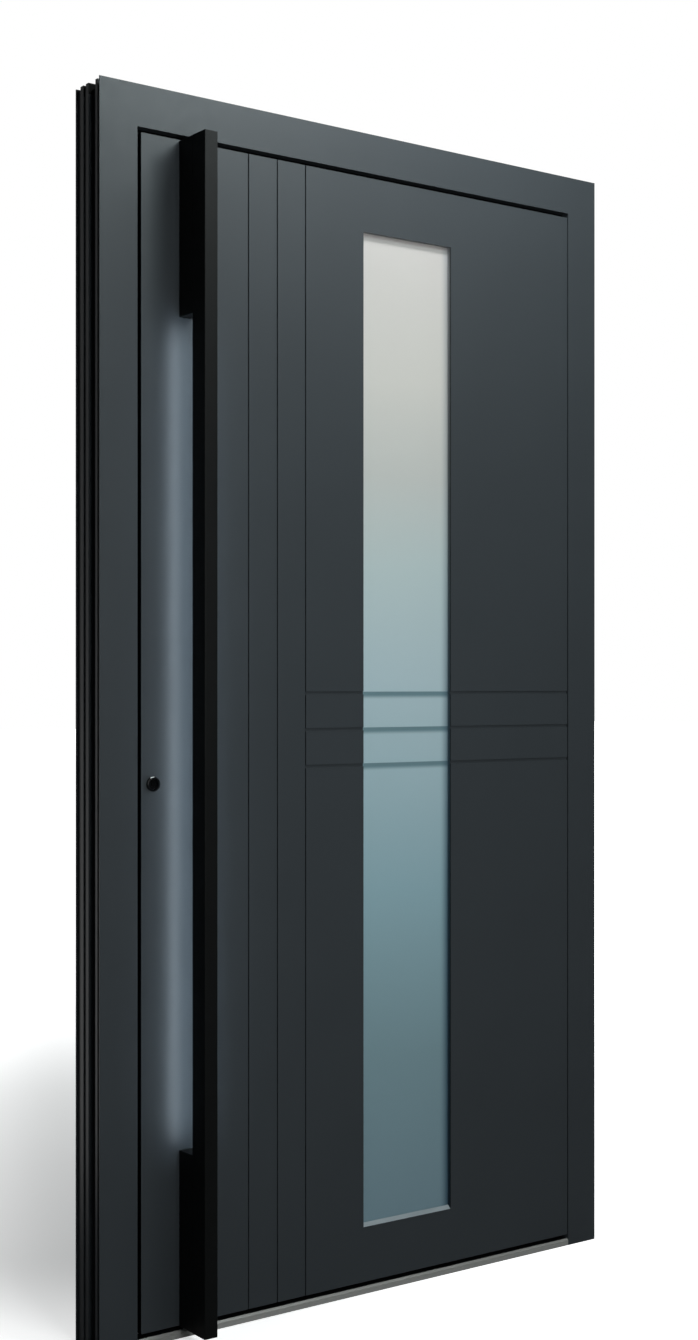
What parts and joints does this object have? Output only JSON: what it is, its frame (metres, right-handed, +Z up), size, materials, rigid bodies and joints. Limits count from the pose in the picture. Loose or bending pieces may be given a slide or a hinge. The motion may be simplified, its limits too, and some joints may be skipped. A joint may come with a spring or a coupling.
{
  "type": "glass entrance door",
  "caption": "Flush aluminium entrance door in its frame, with a tall narrow frosted glass light, grooves, a full-height pull bar with a light, a lock and inside hinges.",
  "frame": {"origin": "middle of the frame's width and depth, on the underside of the threshold", "axes": "+X to the right seen from outside (hinge side), +Y from outside to inside, +Z up"},
  "size_m": [1.11, 0.231, 2.1],
  "materials": {
    "outer_paint": "fine matt",
    "inner_paint": "fine matt",
    "insulating_bar": "matt",
    "seal_rubber": "matt",
    "plain_aluminium": "satin",
    "handle_black": "fine matt",
    "lock_steel": "brushed",
    "cylinder_brass": "nickel plated",
    "hinge_paint": "fine matt",
    "core_foam": "foam",
    "frosted_glass": "satin etched",
    "clear_glass": "clear",
    "light_diffuser": "milky"
  },
  "bodies": {
    "frame": {"frame_left_outer": "outer_paint", "frame_right_outer": "outer_paint", "frame_head_outer": "outer_paint", "frame_left_inner": "inner_paint", "frame_right_inner": "inner_paint", "frame_head_inner": "inner_paint", "frame_thermal_breaks": "insulating_bar", "frame_corner_cleats": "plain_aluminium", "stop_gasket": "seal_rubber", "inner_gasket": "seal_rubber", "threshold_outer": "plain_aluminium", "threshold_break": "insulating_bar", "threshold_inner": "plain_aluminium", "lock_keep": "lock_steel", "swing_bolt_keeps": "lock_steel", "keep_screws": "lock_steel", "hinge_frame_brackets": "hinge_paint", "hinge_pins": "hinge_paint"},
    "leaf": {"leaf_outer_skin": "outer_paint", "leaf_inner_skin": "inner_paint", "leaf_core": "core_foam", "latch_stile_outer": "outer_paint", "latch_stile_inner": "inner_paint", "hinge_stile_outer": "outer_paint", "hinge_stile_inner": "inner_paint", "top_rail_outer": "outer_paint", "top_rail_inner": "inner_paint", "bottom_rail_outer": "outer_paint", "bottom_rail_inner": "inner_paint", "leaf_thermal_breaks": "insulating_bar", "bottom_brush_seal": "seal_rubber", "glass_outer_pane": "frosted_glass", "glass_inner_panes": "clear_glass", "glass_spacers": "plain_aluminium", "glazing_gaskets": "seal_rubber", "glazing_frame_outer": "outer_paint", "glazing_frame_inner": "inner_paint", "handle_bar": "handle_black", "handle_end_caps": "handle_black", "handle_brackets": "handle_black", "handle_bolts": "lock_steel", "light_channel": "plain_aluminium", "light_diffuser": "light_diffuser", "cylinder_ring": "handle_black", "cylinder_body": "cylinder_brass", "inner_rosettes": "lock_steel", "lock_faceplate": "lock_steel", "lock_case": "lock_steel", "swing_bolt_cases": "lock_steel", "hinge_leaf_brackets": "hinge_paint"},
    "lever": {"lever_handle": "lock_steel", "lever_spindle": "lock_steel"},
    "latch": {"latch_bolt": "lock_steel"},
    "deadbolt": {"deadbolt": "lock_steel"},
    "swing_bolt_lower": {"swing_bolt_lower": "lock_steel"},
    "swing_bolt_upper": {"swing_bolt_upper": "lock_steel"},
    "thumb_turn": {"thumb_turn": "lock_steel"},
    "key_plug": {"key_plug": "cylinder_brass"},
    "drive_rods": {"drive_rods": "lock_steel"}
  },
  "joints": [
    {"name": "leaf_swing", "type": "hinge", "parent": "frame", "child": "leaf", "pos_m": [0.5015, 0.054, 0], "axis": [0, 0, -1], "range_deg": [0, 90]},
    {"name": "lever_turn", "type": "hinge", "parent": "leaf", "child": "lever", "pos_m": [-0.455, 0, 1.028], "axis": [0, 1, 0], "range_deg": [0, 35], "stiffness_Nm_per_rad": 1.5, "springref_deg": -34.38},
    {"name": "latch_slide", "type": "slide", "parent": "leaf", "child": "latch", "axis": [1, 0, 0], "range_m": [0, 0.012]},
    {"name": "thumb_turn_turn", "type": "hinge", "parent": "leaf", "child": "thumb_turn", "pos_m": [-0.455, 0, 0.936], "axis": [0, 1, 0], "range_deg": [0, 360]},
    {"name": "key_plug_turn", "type": "hinge", "parent": "leaf", "child": "key_plug", "pos_m": [-0.455, 0, 0.936], "axis": [0, 1, 0], "range_deg": [0, 360]},
    {"name": "deadbolt_slide", "type": "slide", "parent": "leaf", "child": "deadbolt", "axis": [-1, 0, 0], "range_m": [0, 0.02]},
    {"name": "swing_bolt_lower_turn", "type": "hinge", "parent": "leaf", "child": "swing_bolt_lower", "pos_m": [-0.471, -0.007, 0.3], "axis": [0, -1, 0], "range_deg": [0, 90]},
    {"name": "swing_bolt_upper_turn", "type": "hinge", "parent": "leaf", "child": "swing_bolt_upper", "pos_m": [-0.471, -0.007, 1.78], "axis": [0, -1, 0], "range_deg": [0, 90]},
    {"name": "drive_rods_slide", "type": "slide", "parent": "leaf", "child": "drive_rods", "axis": [0, 0, 1], "range_m": [0, 0.018]}
  ],
  "couplings": [
    {"joint": "latch_slide", "follows": "lever_turn", "m_per_rad": 0.019644},
    {"joint": "key_plug_turn", "follows": "thumb_turn_turn", "ratio": 1},
    {"joint": "deadbolt_slide", "follows": "thumb_turn_turn", "m_per_rad": 0.003183},
    {"joint": "swing_bolt_lower_turn", "follows": "thumb_turn_turn", "ratio": 0.25},
    {"joint": "swing_bolt_upper_turn", "follows": "thumb_turn_turn", "ratio": 0.25},
    {"joint": "drive_rods_slide", "follows": "thumb_turn_turn", "m_per_rad": 0.002864}
  ]
}
